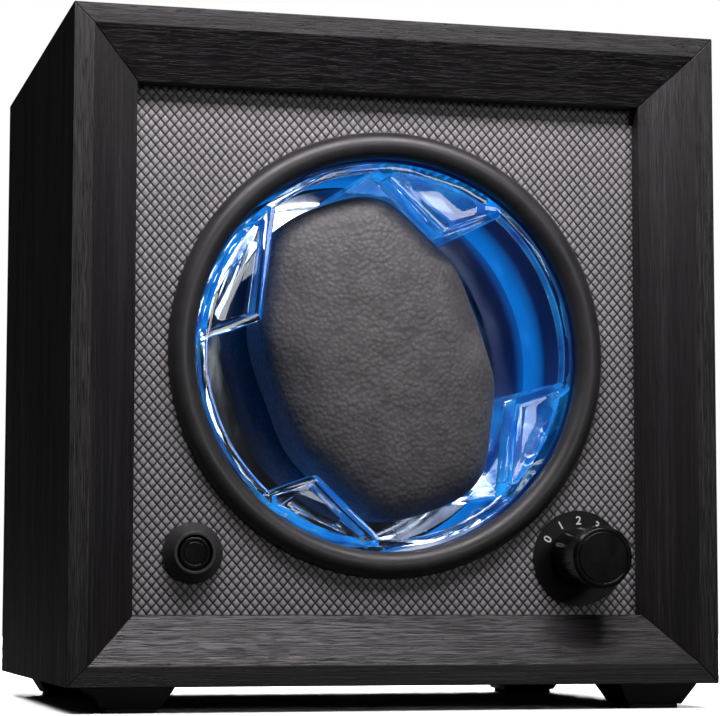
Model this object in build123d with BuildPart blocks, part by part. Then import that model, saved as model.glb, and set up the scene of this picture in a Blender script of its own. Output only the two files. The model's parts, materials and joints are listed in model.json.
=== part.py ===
from build123d import *
from math import acos, atan2, cos, degrees, pi, radians, sin, tan
import os

# Watch winder box. Millimetres, +Z up, the front faces -Y.
# The origin is the bottom centre of the whole object, with the feet standing on z = 0.
# A depth is measured from the flat front rim of the cabinet into the box, along +Y.

os.makedirs("parts", exist_ok=True)

# Driving dimensions
CABINET = 160.0  # width and height of the square cabinet
CABINET_D = 132.5
FOOT_H = 6.0
KNOB_PROUD = 5.0  # the mode knob stands out of the front rim by this much

RIM_W = 4.8  # flat front rim
SPLAY_IN = 11.8  # the inner faces slope inwards by this much
SPLAY_D = 8.6  # over this depth
RAIL_D = 13.4  # depth of the front frame, and of the panel's face
BOARD_T = 9.0
COVER_T = 3.0
COVER_LIP = 2.0  # wood left outside the rear cover's rebate
SLIP = 0.2  # gap around a panel that drops into place

FABRIC_T = 0.6
BAFFLE_T = 4.0

RING_R = 51.5  # centre line of the trim ring's round section
RING_TUBE_R = 3.3
RING_SLEEVE_IN = 49.4
RING_SLEEVE_OUT = 51.9

DRUM_IN = 50.0
DRUM_OUT = 52.0
DRUM_FLANGE_R = 58.0
DRUM_FLANGE_T = 2.5
DRUM_BACK_D = 64.0
DRUM_WALL_T = 2.5
DRUM_SCREW_R = 54.8  # radius of the ring of flange screws

ROTOR_R = 47.0
ROTOR_D = 12.9
ROTOR_TILT = 20.0  # where the rotor stands at rest, anticlockwise from upright
CAGE_RING_W = 1.8
CAGE_RING_T = 5.0
CAGE_WALL = 1.6
CAGE_PANE_T = 2.5
BLOCK_D = 10.0
WINDOW_BORDER = 2.6
WINDOW_DEEP = 0.8
DISC_D = 50.0
DISC_T = 3.0
HUB_R = 12.0
HUB_SCREW_R = 8.5
SHAFT_R = 3.0
RUN = 0.05  # radial running clearance
PRESS = 0.02  # radial gap where two pieces of one body are pushed together

CUSHION_HALF_W = 26.2
CUSHION_HALF_L = 40.0
CUSHION_FRONT_D = 14.2
CUSHION_BACK_D = 47.0

GEAR_MODULE = 0.8
WHEEL_TEETH = 64
PINION_TEETH = 16
PRESSURE_ANGLE = 20.0
BACKLASH = 0.12
GEAR_D = 69.8
GEAR_T = 3.6
GEAR_CENTRES = GEAR_MODULE * (WHEEL_TEETH + PINION_TEETH) / 2

MOTOR_R = 12.5
MOTOR_FACE_D = 77.0
GEARBOX_L = 20.0
MOTOR_CAN_L = 22.0
BRACKET_T = 1.5
PILLAR_X = 21.0
MOTOR_SHAFT_R = 2.0

KNOB_X = 48.5
KNOB_UP = 30.5  # above the bottom of the cabinet
KNOB_R = 7.5
DIAL_R = 11.7
DIAL_T = 0.5
SWITCH_BUSH_R = 4.6
SWITCH_SIZE = 14.0
BUTTON_X = -48.4
BUTTON_UP = 31.2
BEZEL_R = 7.28
BEZEL_RIM_R = 5.0
BUTTON_BORE_R = 4.3
BUTTON_CAP_R = 4.1
BUTTON_BARREL_R = 5.9

FOOT_TOP = 20.0
FOOT_BOTTOM = 14.0
FOOT_X = 64.5
FOOT_FRONT_D = 10.5
FOOT_BACK_D = 107.5
PAD_T = 1.0

PCB_T = 1.6
PCB_W = 70.0
PCB_L = 40.0
PCB_D = 82.0  # front edge of the control board
STANDOFF_H = 5.0
JACK_X = -50.0
JACK_UP = 30.0
LEAD_R = 0.9

# Places worked out from the dimensions
HALF = CABINET / 2
FRONT_Y = -(CABINET_D + KNOB_PROUD) / 2 + KNOB_PROUD
AXIS_Z = FOOT_H + HALF
PANEL_D = RAIL_D
BAFFLE_D = PANEL_D + FABRIC_T
BAFFLE_BACK_D = BAFFLE_D + BAFFLE_T
FLOOR_Z = FOOT_H + BOARD_T
BOARD_TOP_Z = FLOOR_Z + STANDOFF_H + PCB_T
MOTOR_Z = AXIS_Z - GEAR_CENTRES
KNOB_Z = FOOT_H + KNOB_UP
BUTTON_Z = FOOT_H + BUTTON_UP
JACK_Z = FOOT_H + JACK_UP
INSIDE = CABINET - 2 * BOARD_T


def facing(depth, x=0.0, z=AXIS_Z, turn=0.0):
    """A plane seen from the front: local x to the right, local y up, turned anticlockwise."""
    across = (cos(radians(turn)), 0, sin(radians(turn)))
    return Plane(origin=(x, FRONT_Y + depth, z), x_dir=across, z_dir=(0, -1, 0))


def backing(depth, x=0.0, z=AXIS_Z):
    """The same plane looking backwards: local x to the left, local y up."""
    return Plane(origin=(x, FRONT_Y + depth, z), x_dir=(-1, 0, 0), z_dir=(0, 1, 0))


def turning(x=0.0, z=AXIS_Z):
    """A plane for turned profiles: local x is the radius, local y is the depth."""
    return Plane(origin=(x, FRONT_Y, z), x_dir=(1, 0, 0), z_dir=(0, 0, 1))


def turned_axis(x=0.0, z=AXIS_Z):
    return Axis((x, 0, z), (0, 1, 0))


def save(piece, name):
    piece.part.label = name
    export_step(piece.part, f"parts/{name}.step")


def turn_profile(points, x=0.0, z=AXIS_Z):
    """Revolves an outline of (radius, depth) points about a front-to-back axis."""
    with BuildPart() as piece:
        with BuildSketch(turning(x, z)):
            Polygon(*points, align=None)
        revolve(axis=turned_axis(x, z))
    return piece


def tube_profile(inner, outer, near, far):
    return [(inner, near), (outer, near), (outer, far), (inner, far)]


# Screw heads: the cross recess as shares of the head's radius and height, and the crown's chamfer
CROSS_W = 0.3
CROSS_L = 1.1
CROSS_DEPTH = 0.5
PAN_CROWN = 0.35


def pan_screws(name, seat, spots, shank_r, shank_l, head_r, head_t):
    """Pan-head cross-slot screws, with the underside of each head on the seat plane."""
    slot_w = head_r * CROSS_W
    slot_l = head_r * CROSS_L
    with BuildPart() as piece:
        with BuildSketch(seat):
            with Locations(*spots):
                Circle(head_r)
        extrude(amount=head_t)
        rims = piece.edges().filter_by(GeomType.CIRCLE).group_by(Axis(seat.origin, seat.z_dir))
        chamfer(rims[-1], head_t * PAN_CROWN)
        with BuildSketch(seat):
            with Locations(*spots):
                Circle(shank_r)
        extrude(amount=-shank_l)
        with BuildSketch(seat.offset(head_t)):
            with Locations(*spots):
                Rectangle(slot_l, slot_w)
                Rectangle(slot_w, slot_l)
        extrude(amount=-head_t * CROSS_DEPTH, mode=Mode.SUBTRACT)
    save(piece, name)


def flush_screws(name, seat, spots, shank_r, shank_l, head_r):
    """Countersunk cross-slot screws, with each head's flat top on the seat plane."""
    cone = head_r - shank_r
    slot_w = head_r * CROSS_W
    slot_l = head_r * CROSS_L
    with BuildPart() as piece:
        with BuildSketch(seat):
            with Locations(*spots):
                Circle(head_r)
        extrude(amount=-cone, taper=45)
        with BuildSketch(seat.offset(-cone)):
            with Locations(*spots):
                Circle(shank_r)
        extrude(amount=-(shank_l - cone))
        with BuildSketch(seat):
            with Locations(*spots):
                Rectangle(slot_l, slot_w)
                Rectangle(slot_w, slot_l)
        extrude(amount=-cone * CROSS_DEPTH, mode=Mode.SUBTRACT)
    save(piece, name)


# Carcass: four mitred boards behind the front frame, rebated at the back for the cover.
# Each is drawn as the top board and turned to its side of the cabinet.
SIDES = {"top": 0.0, "left": 90.0, "bottom": 180.0, "right": 270.0}
BOARD_NAMES = {
    "top": "top_board",
    "left": "side_board_left",
    "bottom": "bottom_board",
    "right": "side_board_right",
}
COVER_HALF = HALF - COVER_LIP
COVER_SCREW_OUT = 74.5
COVER_SCREW_ALONG = 50.0
COVER_SCREW_R = 1.4
COVER_SCREW_HEAD_R = 2.4
COVER_SCREW_L = 13.0
SINK_ANGLE = 90.0
FOOT_SCREW_R = 1.4
FOOT_SCREW_HEAD_R = 2.9
FOOT_SCREW_L = 13.0
HOLE_GAP = 0.05
cover_screw_spots = [
    (sx * COVER_SCREW_OUT, sz * COVER_SCREW_ALONG) for sx in (-1, 1) for sz in (-1, 1)
]
foot_depths = {"front": FOOT_FRONT_D, "back": FOOT_BACK_D}
foot_spots = [(sx * FOOT_X, FRONT_Y + d) for d in foot_depths.values() for sx in (-1, 1)]

for side, turn in SIDES.items():
    inner = HALF - BOARD_T
    with BuildPart() as board:
        with BuildSketch(facing(RAIL_D, turn=turn)):
            Polygon((-HALF, HALF), (HALF, HALF), (inner, inner), (-inner, inner), align=None)
        extrude(amount=-(CABINET_D - RAIL_D))
        with BuildSketch(facing(CABINET_D - COVER_T)):
            Rectangle(2 * COVER_HALF, 2 * COVER_HALF)
        extrude(amount=-COVER_T, mode=Mode.SUBTRACT)
        if side in ("left", "right"):
            with BuildSketch(facing(CABINET_D)):
                with Locations(*cover_screw_spots):
                    Circle(COVER_SCREW_R + HOLE_GAP)
            extrude(amount=COVER_SCREW_L + 1, mode=Mode.SUBTRACT)
        if side == "bottom":
            with BuildSketch(Plane.XY.offset(FOOT_H - 1)):
                with Locations(*foot_spots):
                    Circle(FOOT_SCREW_R + HOLE_GAP)
            extrude(amount=FOOT_SCREW_L - 3, mode=Mode.SUBTRACT)
    save(board, BOARD_NAMES[side])

# Front frame: four mitred rails with a flat rim, a splayed face and a short straight return.
rail_section = [
    (0, HALF),
    (0, HALF - RIM_W),
    (SPLAY_D, HALF - RIM_W - SPLAY_IN),
    (RAIL_D, HALF - RIM_W - SPLAY_IN),
    (RAIL_D, HALF),
]
for side, turn in SIDES.items():
    along = (cos(radians(turn)), 0, sin(radians(turn)))
    section = Plane(origin=(0, FRONT_Y, AXIS_Z), x_dir=(0, 1, 0), z_dir=along)
    with BuildPart() as rail:
        with BuildSketch(section):
            Polygon(*rail_section, align=None)
        extrude(amount=HALF, both=True)
        with BuildSketch(facing(0, turn=turn)):
            Polygon((0, 0), (HALF, HALF), (-HALF, HALF), align=None)
        extrude(amount=-RAIL_D, mode=Mode.INTERSECT)
        if side == "bottom":
            with BuildSketch(Plane.XY.offset(FOOT_H - 1)):
                with Locations(*foot_spots):
                    Circle(FOOT_SCREW_R + HOLE_GAP)
            extrude(amount=FOOT_SCREW_L - 3, mode=Mode.SUBTRACT)
    save(rail, f"front_rail_{side}")

# Baffle board and its embossed covering, both pierced for the well, the knob and the button.
PANEL_W = INSIDE - 2 * SLIP
knob_spot = (KNOB_X, KNOB_Z - AXIS_Z)
button_spot = (BUTTON_X, BUTTON_Z - AXIS_Z)
PANEL_GAP = 0.1
DRUM_SHANK_R = 1.35
DRUM_PILOT_R = DRUM_SHANK_R + HOLE_GAP
DRUM_SCREW_BITE = 3.0


def pierced_panel(name, depth, thick):
    with BuildPart() as panel:
        with BuildSketch(facing(depth)):
            Rectangle(PANEL_W, PANEL_W)
            Circle(RING_SLEEVE_OUT + PANEL_GAP, mode=Mode.SUBTRACT)
            with Locations(knob_spot):
                Circle(SWITCH_BUSH_R + PANEL_GAP, mode=Mode.SUBTRACT)
            with Locations(button_spot):
                Circle(BUTTON_BARREL_R + PANEL_GAP, mode=Mode.SUBTRACT)
        extrude(amount=-thick)
        if thick > FABRIC_T:
            with BuildSketch(facing(depth + thick)):
                with PolarLocations(DRUM_SCREW_R, 4, start_angle=0):
                    Circle(DRUM_PILOT_R)
            extrude(amount=DRUM_SCREW_BITE + HOLE_GAP, mode=Mode.SUBTRACT)
    save(panel, name)


pierced_panel("baffle_fabric", PANEL_D, FABRIC_T)
pierced_panel("baffle_board", BAFFLE_D, BAFFLE_T)

# Trim ring: a round bead on the panel's face with a sleeve that goes through the boards.
bead_back = (
    RING_R - RING_TUBE_R * cos(pi / 4),
    PANEL_D + RING_TUBE_R * sin(pi / 4),
)
with BuildPart() as trim_ring:
    with BuildSketch(turning()):
        with BuildLine():
            bead = ThreePointArc(
                (RING_R + RING_TUBE_R, PANEL_D),
                (RING_R, PANEL_D - RING_TUBE_R),
                (RING_R - RING_TUBE_R, PANEL_D),
            )
            inner_bead = TangentArc(bead @ 1, bead_back, tangent=bead % 1)
            Polyline(
                inner_bead @ 1,
                (RING_SLEEVE_IN, BAFFLE_BACK_D),
                (RING_SLEEVE_OUT, BAFFLE_BACK_D),
                (RING_SLEEVE_OUT, PANEL_D),
                bead @ 0,
            )
        make_face()
    revolve(axis=turned_axis())
save(trim_ring, "trim_ring")

# Drum: the cup behind the baffle in which the rotor turns.
BUSH_R = 6.0
BUSH_FLANGE_R = 9.0
LED_BOARD_D = 61.2
LED_BOARD_T = 1.6
LED_BOARD_IN = 36.0
LED_BOSS_RING = 42.0
LED_BOSS_R = 2.0
LEAD_HOLE_R = 1.6
LED_LEAD_X = -31.0
LED_LEAD_Z = AXIS_Z - 31.0
drum_far = DRUM_BACK_D + DRUM_WALL_T
with BuildPart() as drum:
    with BuildSketch(turning()):
        Polygon(
            (DRUM_IN, BAFFLE_BACK_D),
            (DRUM_FLANGE_R, BAFFLE_BACK_D),
            (DRUM_FLANGE_R, BAFFLE_BACK_D + DRUM_FLANGE_T),
            (DRUM_OUT, BAFFLE_BACK_D + DRUM_FLANGE_T),
            (DRUM_OUT, drum_far),
            (BUSH_R + HOLE_GAP, drum_far),
            (BUSH_R + HOLE_GAP, DRUM_BACK_D),
            (DRUM_IN, DRUM_BACK_D),
            align=None,
        )
    revolve(axis=turned_axis())
    with BuildSketch(facing(BAFFLE_BACK_D)):
        with PolarLocations(DRUM_SCREW_R, 4, start_angle=0):
            Circle(DRUM_PILOT_R)
    extrude(amount=-DRUM_FLANGE_T, mode=Mode.SUBTRACT)
    with BuildSketch(facing(DRUM_BACK_D)):
        with PolarLocations(LED_BOSS_RING, 3, start_angle=90):
            Circle(LED_BOSS_R)
    extrude(amount=DRUM_BACK_D - LED_BOARD_D - LED_BOARD_T)
    with BuildSketch(facing(DRUM_BACK_D, LED_LEAD_X, LED_LEAD_Z)):
        Circle(LEAD_HOLE_R)
    extrude(amount=-DRUM_WALL_T, mode=Mode.SUBTRACT)
save(drum, "drum_housing")

flange_seat = backing(BAFFLE_BACK_D + DRUM_FLANGE_T)
drum_screw_spots = [(DRUM_SCREW_R, 0), (0, DRUM_SCREW_R), (-DRUM_SCREW_R, 0), (0, -DRUM_SCREW_R)]
DRUM_SCREW_L = DRUM_FLANGE_T + DRUM_SCREW_BITE
DRUM_HEAD_R = 2.4
DRUM_HEAD_T = 1.6
SMALL_HEAD_R = 2.2
SMALL_HEAD_T = 1.4
pan_screws(
    "drum_screws", flange_seat, drum_screw_spots, DRUM_SHANK_R, DRUM_SCREW_L, DRUM_HEAD_R, DRUM_HEAD_T
)

# Light: a ring of LEDs at the back of the drum shines into a frosted sleeve that lines it.
SLEEVE_IN = 48.3
SLEEVE_OUT = 49.9
LED_T = 1.5
LED_RING = 42.5
LED_COUNT = 16
LED_W = 2.8
LED_H = 3.5
save(
    turn_profile(tube_profile(SLEEVE_IN, SLEEVE_OUT, BAFFLE_BACK_D + SLIP, LED_BOARD_D - LED_T - SLIP)),
    "light_sleeve",
)
save(
    turn_profile(tube_profile(LED_BOARD_IN, DRUM_IN - SLIP, LED_BOARD_D, LED_BOARD_D + LED_BOARD_T)),
    "led_board",
)
with BuildPart() as leds:
    with BuildSketch(facing(LED_BOARD_D)):
        with PolarLocations(LED_RING, LED_COUNT, start_angle=180 / LED_COUNT):
            Rectangle(LED_W, LED_H)
    extrude(amount=LED_T)
save(leds, "leds")


# Rotor cage: one clear moulding. A thin front ring carries four hollow corner blocks, and the
# curved outer wall of each block runs back to the rear disc. Their inner edges leave the
# cross-shaped opening for the cushion. Each inner corner is given in the rotor's own frame.
CORNERS = [(23.2, 23.0), (-27.3, 18.0), (-27.3, -21.7), (27.0, -20.8)]
CORNER_LEAN = 0.5  # how far the long inner edge leans towards the middle for each unit it climbs
FAR = 60.0


def corner_face(corner, inset, rounding):
    """One corner block's outline in the rotor's own frame, shrunk by an inset."""
    x, y = corner
    across = FAR if x > 0 else -FAR
    up = FAR if y > 0 else -FAR
    lean_x = x - CORNER_LEAN * abs(up - y) * across / FAR
    with BuildSketch() as face:
        Polygon(corner, (across, y), (across, up), (lean_x, up), align=None)
        Circle(ROTOR_R, mode=Mode.INTERSECT)
        if inset:
            offset(amount=-inset, kind=Kind.INTERSECTION)
        fillet(face.vertices(), rounding)
    return face.sketch


BLOCK_ROUNDING = 1.2
HOLLOW_ROUNDING = 0.8
WINDOW_ROUNDING = 2.0
blocks = [corner_face(corner, 0, BLOCK_ROUNDING) for corner in CORNERS]
hollows = [corner_face(corner, CAGE_WALL, HOLLOW_ROUNDING) for corner in CORNERS]
windows = [corner_face(corner, WINDOW_BORDER, WINDOW_ROUNDING) for corner in CORNERS]


def rotor_plane(depth):
    return facing(depth, turn=ROTOR_TILT)


with BuildPart() as rotor_cage:
    with BuildSketch(rotor_plane(ROTOR_D)):
        add(blocks)
    extrude(amount=-BLOCK_D)
    with BuildSketch(rotor_plane(ROTOR_D)):
        Circle(ROTOR_R)
        Circle(ROTOR_R - CAGE_RING_W, mode=Mode.SUBTRACT)
    extrude(amount=-CAGE_RING_T)
    with BuildSketch(rotor_plane(ROTOR_D + CAGE_PANE_T)):
        add(hollows)
    extrude(amount=-(BLOCK_D - CAGE_PANE_T), mode=Mode.SUBTRACT)
    with BuildSketch(rotor_plane(ROTOR_D + BLOCK_D)):
        add(blocks)
        Circle(ROTOR_R - CAGE_WALL, mode=Mode.SUBTRACT)
    extrude(amount=-(DISC_D - ROTOR_D - BLOCK_D))
    with BuildSketch(rotor_plane(ROTOR_D)):
        add(windows)
    extrude(amount=-WINDOW_DEEP, mode=Mode.SUBTRACT)
save(rotor_cage, "rotor_cage")

HUB_BORE_R = SHAFT_R + PRESS
HUB_SCREW_SHANK_R = 1.2
DISC_GAP = 0.5  # the disc is this much smaller than the cage all round
with BuildPart() as rotor_back_disc:
    with BuildSketch(rotor_plane(DISC_D)):
        Circle(ROTOR_R - DISC_GAP)
        Circle(HUB_BORE_R, mode=Mode.SUBTRACT)
        with PolarLocations(HUB_SCREW_R, 3, start_angle=90):
            Circle(HUB_SCREW_SHANK_R + HOLE_GAP, mode=Mode.SUBTRACT)
    extrude(amount=-DISC_T)
save(rotor_back_disc, "rotor_back_disc")

# Rotor hub, shaft, bush and retaining clip
HUB_T = 4.0
BOSS_R = 7.0
BOSS_END_D = 61.0
disc_far = DISC_D + DISC_T
HUB_PILOT_L = HUB_T - 0.3
HUB_SCREW_L = DISC_T + HUB_T - 0.5
hub_spots = [
    (HUB_SCREW_R * cos(radians(a)), HUB_SCREW_R * sin(radians(a))) for a in (90, 210, 330)
]
with BuildPart() as rotor_hub:
    with BuildSketch(turning()):
        Polygon(
            (HUB_BORE_R, disc_far),
            (HUB_R, disc_far),
            (HUB_R, disc_far + HUB_T),
            (BOSS_R, disc_far + HUB_T),
            (BOSS_R, BOSS_END_D),
            (HUB_BORE_R, BOSS_END_D),
            align=None,
        )
    revolve(axis=turned_axis())
    with BuildSketch(rotor_plane(disc_far)):
        with Locations(*hub_spots):
            Circle(HUB_SCREW_SHANK_R + HOLE_GAP)
    extrude(amount=-HUB_PILOT_L, mode=Mode.SUBTRACT)
save(rotor_hub, "rotor_hub")
pan_screws(
    "hub_screws",
    rotor_plane(DISC_D),
    hub_spots,
    HUB_SCREW_SHANK_R,
    HUB_SCREW_L,
    SMALL_HEAD_R,
    SMALL_HEAD_T,
)

CLIP_D = GEAR_D + GEAR_T + 0.1
CLIP_T = 0.8
CLIP_R = 5.2
CLIP_MOUTH_W = 3.2
CLIP_MOUTH_L = 8.0
SHAFT_CHAMFER = 0.4
GROOVE_R = 2.5
SHAFT_START_D = 50.5
SHAFT_END_D = 76.0
with BuildPart() as rotor_shaft:
    with BuildSketch(facing(SHAFT_START_D)):
        Circle(SHAFT_R)
    extrude(amount=-(SHAFT_END_D - SHAFT_START_D))
    chamfer(rotor_shaft.edges().filter_by(GeomType.CIRCLE), SHAFT_CHAMFER)
    with BuildSketch(facing(CLIP_D - HOLE_GAP)):
        Circle(SHAFT_R + 1)
        Circle(GROOVE_R, mode=Mode.SUBTRACT)
    extrude(amount=-(CLIP_T + 2 * HOLE_GAP), mode=Mode.SUBTRACT)
save(rotor_shaft, "rotor_shaft")

with BuildPart() as shaft_clip:
    with BuildSketch(facing(CLIP_D)):
        Circle(CLIP_R)
        Circle(GROOVE_R + PRESS, mode=Mode.SUBTRACT)
        with Locations((0, CLIP_MOUTH_L / 2)):
            Rectangle(CLIP_MOUTH_W, CLIP_MOUTH_L, mode=Mode.SUBTRACT)
    extrude(amount=-CLIP_T)
save(shaft_clip, "shaft_clip")

BUSH_FLANGE_T = 1.8
BUSH_END_D = 69.2
bush_bore = SHAFT_R + RUN
save(
    turn_profile(
        [
            (bush_bore, DRUM_BACK_D - BUSH_FLANGE_T),
            (BUSH_FLANGE_R, DRUM_BACK_D - BUSH_FLANGE_T),
            (BUSH_FLANGE_R, DRUM_BACK_D),
            (BUSH_R, DRUM_BACK_D),
            (BUSH_R, BUSH_END_D),
            (bush_bore, BUSH_END_D),
        ]
    ),
    "shaft_bush",
)


# Gears with involute flanks. The flank points follow the involute of the base circle, from the
# root or base circle to the tip, and each tooth is thinned by the backlash.
ADDENDUM = 0.95
DEDENDUM = 1.2
FLANK_STEPS = 4


def gear_outline(teeth, first_tooth_deg):
    pitch_r = GEAR_MODULE * teeth / 2
    base_r = pitch_r * cos(radians(PRESSURE_ANGLE))
    tip_r = pitch_r + ADDENDUM * GEAR_MODULE
    root_r = pitch_r - DEDENDUM * GEAR_MODULE
    start_r = max(base_r, root_r)
    inv_pitch = tan(radians(PRESSURE_ANGLE)) - radians(PRESSURE_ANGLE)
    half_tooth = pi / (2 * teeth) - BACKLASH / (2 * pitch_r)
    flank = []
    for i in range(FLANK_STEPS + 1):
        r = start_r + (tip_r - start_r) * i / FLANK_STEPS
        roll = acos(min(1.0, base_r / r))
        flank.append((r, half_tooth + inv_pitch - (tan(roll) - roll)))
    if root_r < start_r:
        flank.insert(0, (root_r, flank[0][1]))
    points = []
    for k in range(teeth):
        middle = radians(first_tooth_deg) + 2 * pi * k / teeth
        points += [(r * cos(middle - a), r * sin(middle - a)) for r, a in flank]
        points += [(r * cos(middle + a), r * sin(middle + a)) for r, a in reversed(flank)]
    return points


WEB_HOLE_RING = 15.0
WEB_HOLE_R = 4.5
WEB_HOLES = 6
with BuildPart() as drive_wheel:
    with BuildSketch(facing(GEAR_D)):
        Polygon(*gear_outline(WHEEL_TEETH, 0), align=None)
        Circle(HUB_BORE_R, mode=Mode.SUBTRACT)
        with PolarLocations(WEB_HOLE_RING, WEB_HOLES, start_angle=0):
            Circle(WEB_HOLE_R, mode=Mode.SUBTRACT)
    extrude(amount=-GEAR_T)
save(drive_wheel, "drive_wheel")

PINION_BORE_R = MOTOR_SHAFT_R + PRESS
with BuildPart() as motor_pinion:
    with BuildSketch(facing(GEAR_D, z=MOTOR_Z)):
        Polygon(*gear_outline(PINION_TEETH, 180 / PINION_TEETH), align=None)
        Circle(PINION_BORE_R, mode=Mode.SUBTRACT)
    extrude(amount=-GEAR_T)
save(motor_pinion, "motor_pinion")

# Gearmotor: gearbox with its output shaft, and the motor behind it, on a bracket and two pillars
GEARBOX_BOSS_R = 3.5
MOTOR_BORE_L = 8.0
MOTOR_SCREW_X = 8.5
MOTOR_SCREW_R = 1.2
MOTOR_SCREW_BITE = 4.0
MOTOR_SHAFT_START_D = GEAR_D - 0.8
MOTOR_SHAFT_END_D = MOTOR_FACE_D + MOTOR_BORE_L - 0.5
MOTOR_SHAFT_CHAMFER = 0.3
bracket_d = MOTOR_FACE_D - BRACKET_T
with BuildPart() as motor_shaft:
    with BuildSketch(facing(MOTOR_SHAFT_START_D, z=MOTOR_Z)):
        Circle(MOTOR_SHAFT_R)
    extrude(amount=-(MOTOR_SHAFT_END_D - MOTOR_SHAFT_START_D))
    chamfer(motor_shaft.edges().filter_by(GeomType.CIRCLE), MOTOR_SHAFT_CHAMFER)
save(motor_shaft, "motor_shaft")

with BuildPart() as gearbox:
    with BuildSketch(facing(MOTOR_FACE_D, z=MOTOR_Z)):
        Circle(MOTOR_R)
        with Locations((-MOTOR_SCREW_X, 0), (MOTOR_SCREW_X, 0)):
            Circle(MOTOR_SCREW_R + HOLE_GAP, mode=Mode.SUBTRACT)
    extrude(amount=-GEARBOX_L)
    with BuildSketch(facing(MOTOR_FACE_D, z=MOTOR_Z)):
        Circle(GEARBOX_BOSS_R)
    extrude(amount=BRACKET_T)
    with BuildSketch(facing(bracket_d, z=MOTOR_Z)):
        Circle(MOTOR_SHAFT_R + RUN)
    extrude(amount=-(BRACKET_T + MOTOR_BORE_L), mode=Mode.SUBTRACT)
save(gearbox, "gearbox_case")

TERMINAL_L = 4.0
TERMINAL_X = 6.0
TERMINAL_W = 0.6
TERMINAL_H = 2.4
CAN_GAP = 0.5  # the motor's can is this much smaller than the gearbox all round
CAN_CHAMFER = 1.0
motor_back = MOTOR_FACE_D + GEARBOX_L + MOTOR_CAN_L
with BuildPart() as motor_can:
    with BuildSketch(facing(MOTOR_FACE_D + GEARBOX_L, z=MOTOR_Z)):
        Circle(MOTOR_R - CAN_GAP)
    extrude(amount=-MOTOR_CAN_L)
    chamfer(motor_can.faces().sort_by(Axis.Y)[-1].edges(), CAN_CHAMFER)
    with BuildSketch(facing(motor_back, z=MOTOR_Z)):
        with Locations((-TERMINAL_X, 0), (TERMINAL_X, 0)):
            Rectangle(TERMINAL_W, TERMINAL_H)
    extrude(amount=-TERMINAL_L)
save(motor_can, "motor_can")

PILLAR_R = 3.0
PILLAR_PILOT_R = 1.25
BRACKET_W = 54.0
BRACKET_H = 20.0
BRACKET_CORNER_R = 4.0
with BuildPart() as bracket:
    with BuildSketch(facing(bracket_d, z=MOTOR_Z)):
        RectangleRounded(BRACKET_W, BRACKET_H, BRACKET_CORNER_R)
        Circle(GEARBOX_BOSS_R + HOLE_GAP, mode=Mode.SUBTRACT)
        with Locations((-PILLAR_X, 0), (PILLAR_X, 0), (-MOTOR_SCREW_X, 0), (MOTOR_SCREW_X, 0)):
            Circle(PILLAR_PILOT_R, mode=Mode.SUBTRACT)
    extrude(amount=-BRACKET_T)
save(bracket, "motor_bracket")

PILLAR_BITE = 6.0
BRACKET_SCREW_L = BRACKET_T + PILLAR_BITE - 0.5
with BuildPart() as pillars:
    with BuildSketch(facing(drum_far, z=MOTOR_Z)):
        with Locations((-PILLAR_X, 0), (PILLAR_X, 0)):
            Circle(PILLAR_R)
    extrude(amount=-(bracket_d - drum_far))
    with BuildSketch(facing(bracket_d, z=MOTOR_Z)):
        with Locations((-PILLAR_X, 0), (PILLAR_X, 0)):
            Circle(PILLAR_PILOT_R)
    extrude(amount=PILLAR_BITE, mode=Mode.SUBTRACT)
save(pillars, "bracket_pillars")

pan_screws(
    "bracket_screws",
    backing(MOTOR_FACE_D, z=MOTOR_Z),
    [(-PILLAR_X, 0), (PILLAR_X, 0)],
    MOTOR_SCREW_R,
    BRACKET_SCREW_L,
    SMALL_HEAD_R,
    SMALL_HEAD_T,
)
pan_screws(
    "motor_screws",
    facing(bracket_d, z=MOTOR_Z),
    [(-MOTOR_SCREW_X, 0), (MOTOR_SCREW_X, 0)],
    MOTOR_SCREW_R,
    BRACKET_T + MOTOR_SCREW_BITE,
    SMALL_HEAD_R,
    SMALL_HEAD_T,
)

# Cushion: a soft block that fills the cross-shaped opening, narrower at its two ends
CUSHION_WAIST = 15.5
CUSHION_END_W = 15.4
CUSHION_SHOULDER = 36.8
CUSHION_END_STEP = 6.0
CUSHION_CORNER_R = 5.0
CUSHION_EDGE_R = 8.0
cushion_corner = [
    (CUSHION_HALF_W, CUSHION_WAIST),
    (CUSHION_END_W, CUSHION_SHOULDER),
    (CUSHION_END_W - CUSHION_END_STEP, CUSHION_HALF_L),
]
cushion_half = cushion_corner + [(-x, y) for x, y in reversed(cushion_corner)]
cushion_outline = cushion_half + [(-x, -y) for x, y in cushion_half]
with BuildPart() as cushion:
    with BuildSketch(rotor_plane(CUSHION_FRONT_D)) as cushion_face:
        Polygon(*cushion_outline, align=None)
        fillet(cushion_face.vertices(), CUSHION_CORNER_R)
    extrude(amount=-(CUSHION_BACK_D - CUSHION_FRONT_D))
    ends = cushion.faces().filter_by(Axis.Y)
    fillet(ends.edges(), CUSHION_EDGE_R)
save(cushion, "cushion")

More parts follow.
